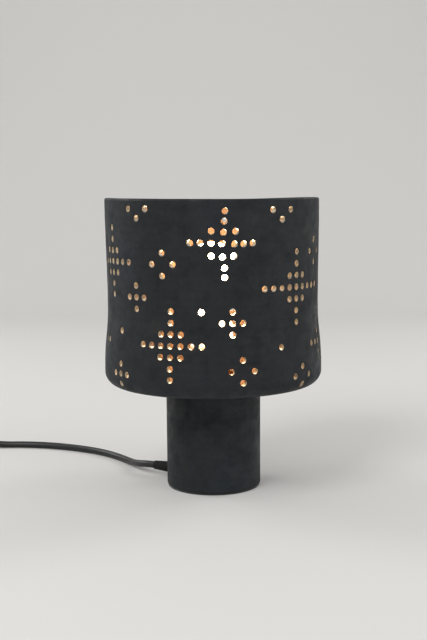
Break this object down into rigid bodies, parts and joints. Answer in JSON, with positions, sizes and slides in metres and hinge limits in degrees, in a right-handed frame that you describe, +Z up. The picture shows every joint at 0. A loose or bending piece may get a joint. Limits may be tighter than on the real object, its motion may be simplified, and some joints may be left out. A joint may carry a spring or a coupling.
{
  "type": "table lamp",
  "caption": "Table lamp with an open-topped drum of pierced dark stoneware on a narrower cylindrical foot, with a screw-in bulb, a black cord, an inline switch and a plug.",
  "frame": {"origin": "on the table, under the centre of the foot", "axes": "+Z up along the axis of the foot and drum; -Y towards the front; the cord leaves at the back left, towards -X and +Y"},
  "size_m": [0.4703, 0.2649, 0.2682],
  "materials": {
    "stoneware": "matte",
    "felt": "felt",
    "cork": "matte",
    "steel": "zinc plated",
    "brass": "bright",
    "bronze": "bright",
    "black_plastic": "satin",
    "white_plastic": "satin",
    "blue_wire": "satin",
    "brown_wire": "satin",
    "opal_glass": "opal",
    "clear_glass": "clear",
    "dark_glass": "opaque",
    "bulb_metal": "bright",
    "tungsten": "matte",
    "black_sheath": "satin",
    "black_rubber": "matte"
  },
  "bodies": {
    "lamp": {"shade_drum": "stoneware", "foot": "stoneware", "felt_ring": "felt", "lower_cork_washer": "cork", "upper_cork_washer": "cork", "lamp_pipe": "steel", "lower_steel_washer": "steel", "upper_steel_washer": "steel", "lower_nut": "steel", "neutral_terminal_screw": "steel", "live_terminal_screw": "steel", "rocker_pin": "steel", "switch_screw_1": "steel", "switch_screw_2": "steel", "screw_shell": "brass", "neutral_terminal": "brass", "live_terminal": "brass", "fixed_contact_1": "brass", "fixed_contact_2": "brass", "centre_contact": "bronze", "switch_base": "black_plastic", "switch_cover": "black_plastic", "plug_body": "black_plastic", "pin_sleeve_1": "black_plastic", "pin_sleeve_2": "black_plastic", "holder_cap": "white_plastic", "holder_insert": "white_plastic", "holder_skirt": "white_plastic", "wire_neutral": "blue_wire", "switch_wire_neutral": "blue_wire", "wire_live": "brown_wire", "switch_wire_in": "brown_wire", "switch_wire_out": "brown_wire", "plug_pin_1": "bulb_metal", "plug_pin_2": "bulb_metal", "cord_inner": "black_sheath", "cord_to_switch": "black_sheath", "cord_to_coil": "black_sheath", "cord_coil": "black_sheath", "cord_to_plug": "black_sheath", "cord_relief": "black_rubber", "cord_tie": "black_rubber"},
    "bulb": {"bulb_glass": "opal_glass", "bulb_cap": "bulb_metal", "bulb_insulator": "dark_glass", "bulb_contact": "bulb_metal", "bulb_stem": "clear_glass", "bulb_lead_1": "tungsten", "bulb_lead_2": "tungsten", "bulb_filament": "tungsten"},
    "rocker": {"switch_rocker": "black_plastic", "bridge_contact": "bronze"}
  },
  "joints": [
    {"name": "bulb_lift", "type": "slide", "parent": "lamp", "child": "bulb", "axis": [0, 0, 1], "range_m": [0, 0.15]},
    {"name": "switch_rock", "type": "hinge", "parent": "lamp", "child": "rocker", "pos_m": [-0.293, 0.15, 0.0126], "axis": [0, -1, 0], "range_deg": [0, 16]}
  ]
}
